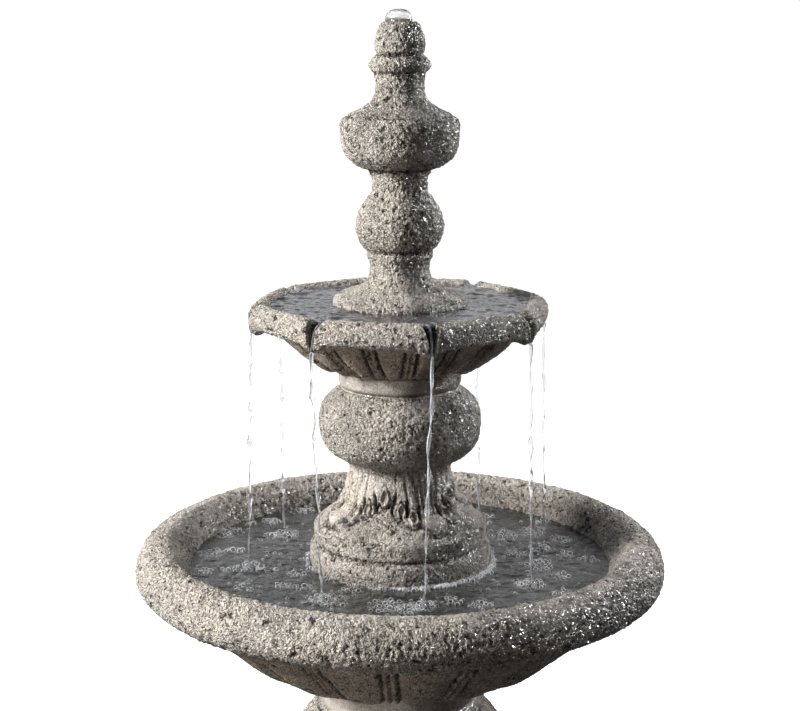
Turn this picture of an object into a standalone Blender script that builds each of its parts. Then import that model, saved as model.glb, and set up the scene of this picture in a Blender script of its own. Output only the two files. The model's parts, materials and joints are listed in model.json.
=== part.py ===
"""Two-tier garden water fountain, modelled as the pieces it comes apart into.

Frame: metres, +Z up, origin on the ground under the middle of the pedestal.
The front of the fountain faces -Y, +X is to its right.

Cast-stone pieces: pedestal, lower bowl, column, upper bowl, finial.
Plumbing: two bulkhead fittings with washers and nuts, a cord bung, a riser
tube with its clamp, a spout nozzle, and a submersible pump that stands inside
the hollow foot of the column.
"""
import math

import bmesh
import bpy
from mathutils import Matrix, Vector

MM = 0.001

# ---------------------------------------------------------------- dimensions
GAP = 0.3 * MM                  # clearance between touching pieces

GROUND_Z = 0.0
PEDESTAL_TOP = 453.7            # mm above the ground
LOWER_BOWL_UNDER = 457.0
LOWER_BOWL_FLOOR = 474.0
LOWER_RIM_TOP = 637.0
LOWER_RIM_RADIUS = 345.0
BOWL_HOLE_R = 20.0              # through-hole in the middle of both bowls

COLUMN_BOTTOM = LOWER_BOWL_FLOOR + 0.3
COLUMN_TOP = 861.7
COLUMN_FOOT_R = 118.0
COLUMN_FOOT_INNER_R = 104.0
COLUMN_TOP_HOLE_R = 22.0

UPPER_BOWL_UNDER = 865.0
UPPER_BOWL_FLOOR = 878.0
UPPER_RIM_TOP = 952.0
UPPER_RIM_RADIUS = 192.0        # mean radius of the soft octagon
OCT_CORNER = 196.0 / 192.0      # corner radius over mean radius
OCT_FLAT = 187.0 / 192.0        # middle of a side over mean radius
LIP_ANGLE = 11.5                # bearing of the first spill lip, from -Y to +X
LIP_COUNT = 8
LIP_DIP = 9.0                   # how far a lip hangs below the rim band

FINIAL_BOTTOM = UPPER_BOWL_FLOOR + 0.3
FINIAL_TOP = 1300.0

RISER_R = 8.0
RISER_BORE_R = 6.0
RISER_BOTTOM = 576.0
RISER_TOP = 1284.0

PUMP_AXIS_Z = 516.0
PUMP_HALF_W = 32.0
PUMP_HALF_H = 30.0
PUMP_FRONT_Y = -20.0            # front face of the volute block
PUMP_JOINT_Y = 14.0             # where motor and volute meet
PUMP_BACK_Y = 78.0
COVER_FRONT_Y = -50.0

STEPS_BOWL = 40
STEPS_CAST = 20
STEPS_SMALL = 16


# ------------------------------------------------------------------- helpers
for old in list(bpy.data.objects):
    bpy.data.objects.remove(old, do_unlink=True)

parts = bpy.data.collections.new("tiered_fountain")
cutters = bpy.data.collections.new("cutters")
bpy.context.scene.collection.children.link(parts)
bpy.context.scene.collection.children.link(cutters)


def material(name, colour, roughness, metallic=0.0):
    mat = bpy.data.materials.new(name)
    mat.use_nodes = True
    bsdf = mat.node_tree.nodes["Principled BSDF"]
    bsdf.inputs["Base Color"].default_value = (*colour, 1.0)
    bsdf.inputs["Roughness"].default_value = roughness
    bsdf.inputs["Metallic"].default_value = metallic
    return mat


def new_object(name, mesh, mat=None, collection=None):
    obj = bpy.data.objects.new(name, mesh)
    (collection or parts).objects.link(obj)
    if mat is not None:
        mesh.materials.append(mat)
    return obj


def smooth(obj, angle=35.0):
    obj.data.shade_smooth()
    obj.data.set_sharp_from_angle(angle=math.radians(angle))


def evaluated_mesh(obj):
    bpy.context.view_layer.update()
    deps = bpy.context.evaluated_depsgraph_get()
    return bpy.data.meshes.new_from_object(obj.evaluated_get(deps))


def profile_mesh(name, points, closed):
    """Edges in the XZ plane from (radius, height) pairs in mm."""
    mesh = bpy.data.meshes.new(name)
    bm = bmesh.new()
    verts = [bm.verts.new((r * MM, 0.0, z * MM)) for r, z in points]
    for a, b in zip(verts, verts[1:]):
        bm.edges.new((a, b))
    if closed:
        bm.edges.new((verts[-1], verts[0]))
    bm.to_mesh(mesh)
    bm.free()
    return mesh


def turned(name, points, steps, mat, closed=True, start=0.0, collection=None):
    """A turned piece. A closed profile runs down its outer side and back up
    its bore; an open one starts and ends on the axis."""
    obj = new_object(name, profile_mesh(name, points, closed), mat, collection)
    obj.rotation_euler = (0.0, 0.0, start)
    screw = obj.modifiers.new("turn", "SCREW")
    screw.axis = "Z"
    screw.angle = math.tau
    screw.steps = steps
    screw.render_steps = steps
    screw.use_merge_vertices = True
    screw.merge_threshold = 0.0001
    screw.use_normal_calculate = False
    screw.use_smooth_shade = True
    return obj


def bake(obj):
    """Replace an object's modifiers by the mesh they make."""
    mesh = evaluated_mesh(obj)
    obj.modifiers.clear()
    old = obj.data
    obj.data = mesh
    mesh.name = obj.name
    bpy.data.meshes.remove(old)
    return obj


def bearing(angle_deg, radius):
    """Point at a bearing measured from -Y towards +X, radius in mm."""
    a = math.radians(angle_deg)
    return Vector((radius * MM * math.sin(a), -radius * MM * math.cos(a), 0.0))


def box_mesh(name, low, high, mat=None, bevel=0.0, segments=2, collection=None):
    """A box from two corners in mm, with its scale applied."""
    bm = bmesh.new()
    bmesh.ops.create_cube(bm, size=1.0)
    size = [(h - l) * MM for l, h in zip(low, high)]
    mid = [(h + l) * 0.5 * MM for l, h in zip(low, high)]
    bmesh.ops.scale(bm, vec=size, verts=bm.verts)
    bmesh.ops.translate(bm, vec=mid, verts=bm.verts)
    mesh = bpy.data.meshes.new(name)
    bm.to_mesh(mesh)
    bm.free()
    obj = new_object(name, mesh, mat, collection)
    if bevel:
        mod = obj.modifiers.new("edges", "BEVEL")
        mod.width = bevel * MM
        mod.segments = segments
        mod.limit_method = "ANGLE"
    return obj


def rod_mesh(name, radius, length, centre, axis="Z", segments=16, mat=None,
             collection=None, radius2=None):
    """A cylinder or cone, radius and length in mm, about X, Y or Z."""
    bm = bmesh.new()
    bmesh.ops.create_cone(bm, cap_ends=True, segments=segments,
                          radius1=radius * MM,
                          radius2=(radius if radius2 is None else radius2) * MM,
                          depth=length * MM)
    turn = {"Z": Matrix.Identity(4),
            "Y": Matrix.Rotation(math.radians(-90.0), 4, "X"),
            "X": Matrix.Rotation(math.radians(90.0), 4, "Y")}[axis]
    bmesh.ops.transform(bm, matrix=turn, verts=bm.verts)
    bmesh.ops.translate(bm, vec=[c * MM for c in centre], verts=bm.verts)
    mesh = bpy.data.meshes.new(name)
    bm.to_mesh(mesh)
    bm.free()
    return new_object(name, mesh, mat, collection)


def as_cutter(obj):
    obj.hide_render = True
    obj.display_type = "WIRE"
    for coll in list(obj.users_collection):
        coll.objects.unlink(obj)
    cutters.objects.link(obj)
    return obj


def boolean(obj, tool, operation="DIFFERENCE"):
    mod = obj.modifiers.new(operation.lower(), "BOOLEAN")
    mod.operation = operation
    mod.solver = "EXACT"
    mod.object = tool
    return mod


# ----------------------------------------------------------------- materials
STONE = material("cast_stone", (0.42, 0.38, 0.33), 0.85)
STONE_WET = material("cast_stone_wet", (0.30, 0.27, 0.24), 0.55)
RUBBER = material("black_rubber", (0.03, 0.03, 0.03), 0.8)
PLASTIC = material("black_plastic", (0.04, 0.04, 0.045), 0.45)
GREY_PLASTIC = material("grey_plastic", (0.22, 0.23, 0.24), 0.4)
TUBE = material("clear_tube", (0.75, 0.8, 0.8), 0.25)
BRASS = material("brass", (0.72, 0.52, 0.24), 0.3, 1.0)
STEEL = material("stainless", (0.62, 0.62, 0.62), 0.3, 1.0)
CERAMIC = material("ceramic", (0.85, 0.85, 0.82), 0.25)
MAGNET = material("ferrite", (0.08, 0.08, 0.085), 0.6)


# ------------------------------------------------------------------ pedestal
pedestal = turned("base_pedestal", [
    # outside, top to bottom
    (100, PEDESTAL_TOP), (100, 417), (113, 403), (130, 383), (141, 362),
    (145, 342), (141, 312), (128, 286), (106, 263), (89, 245), (87, 222),
    (88, 200), (98, 168), (124, 134), (150, 112), (158, 106), (158, 88),
    (154, 82), (165, 76), (165, GROUND_Z),
    # inside, bottom to top
    (150, GROUND_Z), (150, 70), (138, 98), (108, 126), (84, 166), (74, 200),
    (74, 242), (94, 270), (118, 300), (128, 342), (118, 376), (90, 405),
    (84, 418), (84, 438), (45, 438), (45, PEDESTAL_TOP),
], STEPS_CAST, STONE)
cord_notch = as_cutter(box_mesh("cut_cord_notch", (-16, 140, -5), (16, 180, 20)))
boolean(pedestal, cord_notch)
smooth_later = [pedestal]

gasket_low = turned("pedestal_gasket", [
    (96, 456.7), (96, 454.0), (70, 454.0), (70, 456.7),
], STEPS_CAST, RUBBER)

# ---------------------------------------------------------------- lower bowl
lower_bowl = turned("lower_bowl", [
    # over the rim and down the underside
    (306, LOWER_RIM_TOP), (323, 634.5), (336, 625), (343, 611),
    (LOWER_RIM_RADIUS, 602), (342, 588), (328, 577), (292, 569), (272, 546),
    (248, 527), (219, 501), (176, 475), (112, LOWER_BOWL_UNDER),
    (BOWL_HOLE_R, LOWER_BOWL_UNDER),
    # up through the middle hole and over the basin
    (BOWL_HOLE_R, LOWER_BOWL_FLOOR), (124, LOWER_BOWL_FLOOR), (162, 482),
    (200, 502), (235, 531), (256, 560), (272, 598), (283, 618), (294, 631),
], STEPS_BOWL, STONE)
smooth_later.append(lower_bowl)


def bulkhead(prefix, washer_z, body_bottom, nut_top, bore_r):
    """Flanged fitting through a bowl: washer on the floor, nut underneath."""
    flange = washer_z + 3.0
    turned(prefix + "_washer", [
        (26, washer_z + 2.6), (26, washer_z), (21, washer_z),
        (21, washer_z + 2.6)], STEPS_SMALL, RUBBER)
    body = turned(prefix + "_fitting", [
        (bore_r + 4, flange + 5), (25.5, flange + 4), (26.5, flange),
        (18.5, flange), (18.5, body_bottom), (bore_r, body_bottom),
        (bore_r, flange + 5)], STEPS_SMALL, PLASTIC)
    nut = rod_mesh(prefix + "_nut", 30.0, 11.0, (0, 0, nut_top - 5.5),
                   "Z", 6, PLASTIC)
    mod = nut.modifiers.new("edges", "BEVEL")
    mod.width = 1.0 * MM
    mod.segments = 1
    mod.limit_method = "ANGLE"
    hole = as_cutter(rod_mesh("cut_" + prefix + "_nut", 18.9, 30.0,
                              (0, 0, nut_top - 5.5), "Z", 24))
    boolean(nut, hole)
    return body


bulkhead("lower_bulkhead", LOWER_BOWL_FLOOR + 0.3, 430.0, 456.7, 12.0)
bulkhead("upper_bulkhead", UPPER_BOWL_FLOOR + 0.3, 822.0, 845.7, 8.4)

# rubber stopper that would close round the pump cord
cord_bung = turned("cord_bung", [
    (11.6, 484.0), (10.8, 460.0), (3.5, 460.0), (3.5, 484.0),
], STEPS_SMALL, RUBBER)

# -------------------------------------------------------------------- column
column = turned("column", [
    # outside, top to bottom
    (79, COLUMN_TOP), (79, 846), (75, 840), (90, 829), (101, 816),
    (104.5, 797), (102, 773), (93, 757), (78, 746), (66.5, 735), (66.5, 722),
    (69, 698), (76, 686), (95, 672), (106, 661), (112, 655), (112, 637),
    (109, 633), (117, 629), (COLUMN_FOOT_R, 623),
    (COLUMN_FOOT_R, COLUMN_BOTTOM),
    # inside, bottom to top
    (COLUMN_FOOT_INNER_R, COLUMN_BOTTOM), (COLUMN_FOOT_INNER_R, 606),
    (97, 634), (82, 654), (64, 672), (55, 692), (53, 732), (68, 752),
    (87, 772), (91, 797), (87, 812), (70, 831), (62, 846),
    (COLUMN_TOP_HOLE_R, 846), (COLUMN_TOP_HOLE_R, COLUMN_TOP),
], STEPS_CAST, STONE)
for k in range(4):
    # arched water inlets at the foot, under the water line
    arch = box_mesh("cut_inlet_%d" % k, (-13, 90, 460), (13, 130, 500),
                    bevel=8.0, segments=2)
    arch.rotation_euler = (0.0, 0.0, math.radians(45.0 + 90.0 * k))
    as_cutter(arch)
    boolean(column, arch)
smooth_later.append(column)

gasket_high = turned("column_gasket", [
    (72, 864.7), (72, 862.0), (44, 862.0), (44, 864.7),
], STEPS_CAST, RUBBER)

# ---------------------------------------------------------------- upper bowl
FIRST_LIP = math.radians(LIP_ANGLE - 90.0)      # polar angle of the first lip

upper_bowl = turned("upper_bowl", [
    # over the rim and down the underside
    (176, UPPER_RIM_TOP), (184, 949.5), (190, 943), (UPPER_RIM_RADIUS, 934),
    (190, 925), (184, 921.5), (174, 920), (152, 909), (135, 892.5),
    (120, 881.5), (101, 869), (84, UPPER_BOWL_UNDER),
    (BOWL_HOLE_R, UPPER_BOWL_UNDER),
    # up through the middle hole and over the basin
    (BOWL_HOLE_R, UPPER_BOWL_FLOOR), (92, UPPER_BOWL_FLOOR), (116, 889),
    (138, 907), (153, 925), (162, 940), (169, 949),
], STEPS_BOWL, STONE, start=0.0)
bake(upper_bowl)


def lip_phase(x, y):
    """Angle to the nearest spill lip, in degrees, 0 at a lip."""
    step = 360.0 / LIP_COUNT
    a = math.degrees(math.atan2(y, x) - FIRST_LIP)
    return (a + step / 2.0) % step - step / 2.0


def octagon(phase_deg):
    """Soft octagon, radius over mean radius."""
    flat = math.cos(math.radians(22.5)) / math.cos(
        math.radians(22.5 - abs(phase_deg)))
    t = (flat - math.cos(math.radians(22.5))) / (
        1.0 - math.cos(math.radians(22.5)))
    return OCT_FLAT + (OCT_CORNER - OCT_FLAT) * t


bm = bmesh.new()
bm.from_mesh(upper_bowl.data)
bmesh.ops.rotate(bm, cent=(0, 0, 0), matrix=Matrix.Rotation(FIRST_LIP, 3, "Z"),
                 verts=bm.verts)
for v in bm.verts:
    radius = math.hypot(v.co.x, v.co.y) / MM
    if radius < 125.0:
        continue
    phase = lip_phase(v.co.x, v.co.y)
    weight = min(1.0, (radius - 125.0) / 45.0)
    scale = 1.0 + weight * (octagon(phase) - 1.0)
    v.co.x *= scale
    v.co.y *= scale
    height = v.co.z / MM
    if radius > 172.0 and height < 928.0:
        # the band hangs down to a point under each notch
        v.co.z -= LIP_DIP * MM * math.exp(-(phase / 6.0) ** 2)
bm.to_mesh(upper_bowl.data)
bm.free()

for k in range(LIP_COUNT):
    # a notch through the rim: wide at the top, narrow at the lip
    bm = bmesh.new()
    bmesh.ops.create_cube(bm, size=1.0)
    for v in bm.verts:
        inner = v.co.y > 0.0
        top = v.co.z > 0.0
        v.co.x = math.copysign(7.5 if top else 1.6, v.co.x) * MM
        v.co.y = (-146.0 if inner else -216.0) * MM
        v.co.z = (975.0 if top else (941.0 if inner else 905.0)) * MM
    mesh = bpy.data.meshes.new("cut_notch_%d" % k)
    bm.to_mesh(mesh)
    bm.free()
    notch = new_object(mesh.name, mesh)
    notch.rotation_euler = (0.0, 0.0,
                            math.radians(LIP_ANGLE + k * 360.0 / LIP_COUNT))
    as_cutter(notch)
    boolean(upper_bowl, notch)
smooth_later.append(upper_bowl)

# -------------------------------------------------------------------- finial
finial = turned("finial", [
    # outside, top to bottom
    (21, FINIAL_TOP), (27, 1292), (31, 1278), (31.5, 1270), (29.5, 1261),
    (36, 1254), (38.5, 1246), (33, 1236), (30.5, 1222), (32, 1209),
    (44, 1197), (66, 1186), (75, 1177), (74.5, 1158), (71, 1142), (60, 1127),
    (42, 1117), (35, 1106), (34, 1095), (42, 1081), (52, 1063), (55.5, 1044),
    (51, 1028), (41, 1012), (37.5, 993), (41, 978), (53, 968), (78, 959),
    (86, 948), (81, 938), (84, FINIAL_BOTTOM),
    # inside, bottom to top
    (71, FINIAL_BOTTOM), (69, 938), (52, 953), (32, 966), (25, 980),
    (25, 1010), (38, 1028), (42, 1044), (36, 1064), (22, 1088), (22, 1110),
    (48, 1130), (60, 1146), (61, 1166), (40, 1182), (20, 1198), (19, 1262),
    (13, 1267), (13, 1272.2), (16, 1272.2), (16, FINIAL_TOP),
], STEPS_CAST, STONE)
smooth_later.append(finial)

nozzle = turned("spout_nozzle", [
    (14.3, 1303.5), (15.7, 1302.1), (15.7, 1272.5), (8.5, 1272.5),
    (8.5, 1288.0), (6.0, 1290.0), (6.0, 1303.5),
], STEPS_SMALL, BRASS)

# ---------------------------------------------------------------------- pump
riser = turned("riser_tube", [
    (RISER_R, RISER_TOP), (RISER_R, RISER_BOTTOM),
    (RISER_BORE_R, RISER_BOTTOM), (RISER_BORE_R, RISER_TOP),
], STEPS_SMALL, TUBE)

clamp = turned("hose_clamp", [
    (9.6, 592.0), (9.6, 584.0), (8.5, 584.0), (8.5, 592.0),
], STEPS_SMALL, STEEL)
bake(clamp)
screw_box = box_mesh("clamp_screw_box", (9.0, -6.0, 584.5), (16.0, 6.0, 591.5))
boolean(clamp, as_cutter(screw_box), "UNION")

adapter = turned("pump_outlet_adapter", [
    (5.6, 598.0), (5.6, 575.5), (11.0, 575.5), (11.0, 570.3), (4.2, 570.3),
    (4.2, 598.0),
], STEPS_SMALL, GREY_PLASTIC)

z0, z1 = PUMP_AXIS_Z - PUMP_HALF_H, PUMP_AXIS_Z + PUMP_HALF_H

motor = box_mesh("pump_motor_housing", (-PUMP_HALF_W, PUMP_JOINT_Y + 0.3, z0),
                 (PUMP_HALF_W, PUMP_BACK_Y, z1), PLASTIC, bevel=7.0)
well = as_cutter(rod_mesh("cut_rotor_well", 12.0, 46.0,
                          (0, PUMP_JOINT_Y + 19.0, PUMP_AXIS_Z), "Y", 16))
boolean(motor, well)

volute = box_mesh("pump_volute", (-PUMP_HALF_W, PUMP_FRONT_Y, z0),
                  (PUMP_HALF_W, PUMP_JOINT_Y - 2.0, z1), PLASTIC, bevel=7.0)
outlet = as_cutter(rod_mesh("add_outlet", 9.0, 32.0,
                            (0, 0, z1 + 8.0), "Z", 16))
boolean(volute, outlet, "UNION")
chamber = as_cutter(rod_mesh("cut_impeller_chamber", 21.0, 40.0,
                             (0, PUMP_FRONT_Y + 24.0, PUMP_AXIS_Z), "Y", 24))
boolean(volute, chamber)
eye = as_cutter(rod_mesh("cut_intake_eye", 9.0, 20.0,
                         (0, PUMP_FRONT_Y, PUMP_AXIS_Z), "Y", 16))
boolean(volute, eye)
outlet_bore = as_cutter(rod_mesh("cut_outlet_bore", 5.0, 60.0,
                                 (0, 0, z1 + 14.0), "Z", 16))
boolean(volute, outlet_bore)

bm = bmesh.new()
ring = bmesh.ops.create_cone(bm, cap_ends=True, segments=24, radius1=25.6 * MM,
                             radius2=25.6 * MM, depth=1.4 * MM)
bmesh.ops.transform(bm, matrix=Matrix.Rotation(math.radians(-90), 4, "X"),
                    verts=bm.verts)
bmesh.ops.translate(bm, vec=(0, (PUMP_JOINT_Y - 0.85) * MM, PUMP_AXIS_Z * MM),
                    verts=bm.verts)
mesh = bpy.data.meshes.new("pump_o_ring")
bm.to_mesh(mesh)
bm.free()
o_ring = new_object("pump_o_ring", mesh, RUBBER)
boolean(o_ring, as_cutter(rod_mesh("cut_o_ring", 22.6, 10.0,
                                   (0, PUMP_JOINT_Y - 0.85, PUMP_AXIS_Z),
                                   "Y", 24)))

shaft = rod_mesh("pump_shaft", 1.5, 66.0, (0, 18.0, PUMP_AXIS_Z), "Y", 12,
                 CERAMIC)

rotor = rod_mesh("rotor_magnet", 10.5, 32.0, (0, 32.0, PUMP_AXIS_Z), "Y", 16,
                 MAGNET)
boolean(rotor, as_cutter(rod_mesh("cut_rotor_bore", 1.8, 60.0,
                                  (0, 32.0, PUMP_AXIS_Z), "Y", 12)))

impeller = rod_mesh("pump_impeller", 6.0, 20.0, (0, 3.0, PUMP_AXIS_Z), "Y", 16,
                    GREY_PLASTIC)
for k in range(6):
    blade = box_mesh("add_blade_%d" % k, (3.0, -7.0, -1.0), (18.0, 7.0, 1.0))
    blade.location = (0.0, 0.0, PUMP_AXIS_Z * MM)
    blade.rotation_euler = (0.0, math.radians(60.0 * k), 0.0)
    boolean(impeller, as_cutter(blade), "UNION")
boolean(impeller, as_cutter(rod_mesh("cut_impeller_bore", 1.8, 60.0,
                                     (0, 3.0, PUMP_AXIS_Z), "Y", 12)))

cover = box_mesh("pump_intake_cover", (-PUMP_HALF_W, COVER_FRONT_Y, z0),
                 (PUMP_HALF_W, PUMP_FRONT_Y - 0.3, z1), PLASTIC, bevel=5.0)
hollow = as_cutter(box_mesh("cut_cover_hollow",
                            (-PUMP_HALF_W + 3, COVER_FRONT_Y + 3, z0 + 3),
                            (PUMP_HALF_W - 3, 0, z1 - 3)))
boolean(cover, hollow)
for k, x in enumerate((-25.0, -19.0, 19.0, 25.0)):
    slot = as_cutter(box_mesh("cut_grille_%d" % k, (x - 1.6, -60, z0 + 9),
                              (x + 1.6, COVER_FRONT_Y + 10, z1 - 9)))
    boolean(cover, slot)
boolean(cover, as_cutter(rod_mesh("cut_dial_hole", 3.5, 20.0,
                                  (0, COVER_FRONT_Y, PUMP_AXIS_Z), "Y", 16)))

dial = rod_mesh("flow_dial", 11.0, 6.0, (0, COVER_FRONT_Y - 3.3, PUMP_AXIS_Z),
                "Y", 20, GREY_PLASTIC)
boolean(dial, as_cutter(rod_mesh("add_dial_stem", 3.1, 14.0,
                                 (0, COVER_FRONT_Y + 4.0, PUMP_AXIS_Z), "Y",
                                 12)), "UNION")
boolean(dial, as_cutter(box_mesh("add_dial_grip",
                                 (-1.5, COVER_FRONT_Y - 9.5, PUMP_AXIS_Z - 9),
                                 (1.5, COVER_FRONT_Y - 5, PUMP_AXIS_Z + 9))),
        "UNION")

gland = turned("pump_cord_gland", [
    (5.0, 14.0), (6.5, 4.0), (8.5, 4.0), (8.5, 0.0), (3.4, 0.0), (3.4, 14.0),
], STEPS_SMALL, RUBBER)
gland.location = (0.0, (PUMP_BACK_Y + 0.3) * MM, PUMP_AXIS_Z * MM)
gland.rotation_euler = (math.radians(-90.0), 0.0, 0.0)

for name, x, y in (("suction_cup_fl", -24, 27), ("suction_cup_fr", 24, 27),
                   ("suction_cup_rl", -24, 68), ("suction_cup_rr", 24, 68)):
    cup = turned(name, [
        (0.0, z0 - 0.3), (4.0, z0 - 0.3), (4.0, z0 - 5.0),
        (8.0, LOWER_BOWL_FLOOR + 1.2), (8.0, LOWER_BOWL_FLOOR + 0.3),
        (0.0, LOWER_BOWL_FLOOR + 0.3),
    ], 12, RUBBER, closed=False)
    cup.location = (x * MM, y * MM, 0.0)

# ------------------------------------------------------------------- shading
for obj in smooth_later:
    smooth(obj, 40.0)
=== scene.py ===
import json
import math

import bpy
import numpy as np
from mathutils import Matrix, Vector


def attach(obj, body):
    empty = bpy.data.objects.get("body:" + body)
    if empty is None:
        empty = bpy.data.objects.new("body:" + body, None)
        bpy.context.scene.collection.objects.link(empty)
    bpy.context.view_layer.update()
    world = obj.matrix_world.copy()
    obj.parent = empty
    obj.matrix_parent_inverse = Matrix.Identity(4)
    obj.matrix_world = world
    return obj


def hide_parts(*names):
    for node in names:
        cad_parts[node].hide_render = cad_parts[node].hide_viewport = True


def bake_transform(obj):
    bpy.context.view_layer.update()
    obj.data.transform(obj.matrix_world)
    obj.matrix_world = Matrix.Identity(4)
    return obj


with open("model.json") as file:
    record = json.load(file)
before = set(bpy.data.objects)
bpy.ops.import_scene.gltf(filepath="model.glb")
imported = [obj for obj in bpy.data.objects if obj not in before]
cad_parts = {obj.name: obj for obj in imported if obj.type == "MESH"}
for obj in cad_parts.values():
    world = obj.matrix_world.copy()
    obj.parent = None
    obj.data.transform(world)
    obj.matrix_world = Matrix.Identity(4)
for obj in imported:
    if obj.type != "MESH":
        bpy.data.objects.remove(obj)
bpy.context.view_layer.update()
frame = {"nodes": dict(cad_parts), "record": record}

MM = 0.001
RES = 1.0       # coarser grids while working
scene = bpy.context.scene


# --------------------------------------------------------------------- camera
cam_data = bpy.data.cameras.new("camera")
cam = bpy.data.objects.new("camera", cam_data)
scene.collection.objects.link(cam)
cam.location = (0.0, -2.1426, 1.3197)
cam.rotation_euler = (math.pi / 2 - 0.2034, 0.0, 0.0)
cam_data.lens = 76.4
cam_data.sensor_width = 36.0
cam_data.clip_end = 200.0
scene.camera = cam

# ------------------------------------------------------------- numeric tools
_rng = np.random.default_rng(20)
_G = _rng.normal(size=(256, 3))
_G /= np.linalg.norm(_G, axis=1)[:, None]
_PERM = _rng.permutation(256)


def noise(P):
    """Gradient noise, about -1 to 1, at points of shape (..., 3)."""
    i = np.floor(P).astype(np.int64)
    f = P - i
    u = f * f * f * (f * (f * 6 - 15) + 10)
    out = np.zeros(P.shape[:-1])
    for dx in (0, 1):
        wx = u[..., 0] if dx else 1 - u[..., 0]
        hx = _PERM[(i[..., 0] + dx) & 255]
        for dy in (0, 1):
            wy = u[..., 1] if dy else 1 - u[..., 1]
            hy = _PERM[(hx + i[..., 1] + dy) & 255]
            for dz in (0, 1):
                wz = u[..., 2] if dz else 1 - u[..., 2]
                g = _G[_PERM[(hy + i[..., 2] + dz) & 255]]
                out += wx * wy * wz * (g[..., 0] * (f[..., 0] - dx)
                                       + g[..., 1] * (f[..., 1] - dy)
                                       + g[..., 2] * (f[..., 2] - dz))
    return out * 1.7


def smoothstep(a, b, x):
    t = np.clip((x - a) / (b - a), 0.0, 1.0)
    return t * t * (3 - 2 * t)


def bump(x, centre, width):
    return np.exp(-((x - centre) / width) ** 2)


def catmull(points, step):
    """Points along a smooth curve through the given ones, step apart."""
    p = np.array(points, float)
    if len(p) == 2:
        n = max(1, int(round(np.linalg.norm(p[1] - p[0]) / step)))
        return p[0] + (p[1] - p[0]) * np.linspace(0, 1, n + 1)[:, None]
    ext = np.vstack([2 * p[0] - p[1], p, 2 * p[-1] - p[-2]])
    dense = []
    for k in range(1, len(ext) - 2):
        a, b, c, d = ext[k - 1:k + 3]
        t0 = 0.0
        t1 = t0 + max(np.linalg.norm(b - a), 1e-6) ** 0.5
        t2 = t1 + max(np.linalg.norm(c - b), 1e-6) ** 0.5
        t3 = t2 + max(np.linalg.norm(d - c), 1e-6) ** 0.5
        t = np.linspace(t1, t2, 24, endpoint=False)[:, None]
        A1 = (t1 - t) / (t1 - t0) * a + (t - t0) / (t1 - t0) * b
        A2 = (t2 - t) / (t2 - t1) * b + (t - t1) / (t2 - t1) * c
        A3 = (t3 - t) / (t3 - t2) * c + (t - t2) / (t3 - t2) * d
        B1 = (t2 - t) / (t2 - t0) * A1 + (t - t0) / (t2 - t0) * A2
        B2 = (t3 - t) / (t3 - t1) * A2 + (t - t1) / (t3 - t1) * A3
        dense.append((t2 - t) / (t2 - t1) * B1 + (t - t1) / (t2 - t1) * B2)
    dense = np.vstack(dense + [p[-1:]])
    length = np.concatenate([[0], np.cumsum(np.linalg.norm(np.diff(dense, axis=0), axis=1))])
    n = max(2, int(round(length[-1] / step)))
    s = np.linspace(0, length[-1], n + 1)
    return np.stack([np.interp(s, length, dense[:, 0]),
                     np.interp(s, length, dense[:, 1])], 1)


def profile(segments):
    """Closed profile from (points, step, pit depth) runs that share ends.
    Returns radius, height, pit depth, run number, normal and arc length."""
    rz, amp, run = [], [], []
    for k, (pts, step, depth) in enumerate(segments):
        q = catmull(pts, step / (RES if step < 8 else 1.0))[:-1]
        rz.append(q)
        amp += [depth] * len(q)
        run += [k] * len(q)
    rz = np.vstack(rz)
    amp = np.array(amp, float)
    ahead, behind = np.roll(rz, -1, 0), np.roll(rz, 1, 0)
    t = ahead - behind
    t /= np.maximum(np.linalg.norm(t, axis=1), 1e-9)[:, None]
    normal = np.stack([-t[:, 1], t[:, 0]], 1)
    for _ in range(3):                    # ease the pit depth between runs
        amp = (np.roll(amp, 1) + 2 * amp + np.roll(amp, -1)) / 4
    step = np.linalg.norm(rz - behind, axis=1)
    return rz[:, 0], rz[:, 1], amp, np.array(run), normal, np.cumsum(step)


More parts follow.
